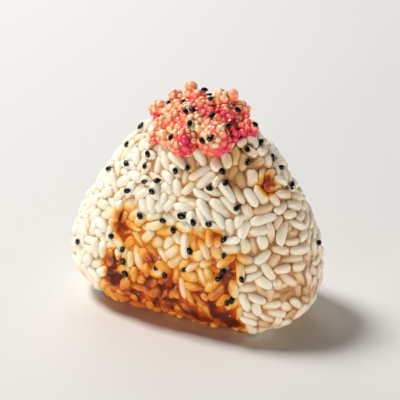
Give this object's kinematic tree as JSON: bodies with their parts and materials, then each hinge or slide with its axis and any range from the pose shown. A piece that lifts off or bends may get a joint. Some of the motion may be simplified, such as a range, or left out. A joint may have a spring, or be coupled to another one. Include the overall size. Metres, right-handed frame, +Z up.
{
  "type": "rice ball with roe topping",
  "caption": "Hand-pressed rounded triangle of cooked rice, browned on its front, with a heap of salted roe on top and scattered black sesame seeds.",
  "frame": {"origin": "middle of the flat foot that the rice ball stands on", "axes": "+Z up from the foot to the roe, +X along the ball's width, -Y out of the broad browned face"},
  "size_m": [0.0886, 0.0504, 0.0776],
  "materials": {
    "rice": "moist cooked rice with pale translucent grains, browned and glazed in places, with black sesame seeds",
    "roe": "moist glossy granules from peach to coral pink, with black sesame seeds"
  },
  "bodies": {
    "root": {"rice_ball": "rice", "roe_topping": "roe"}
  },
  "joints": []
}
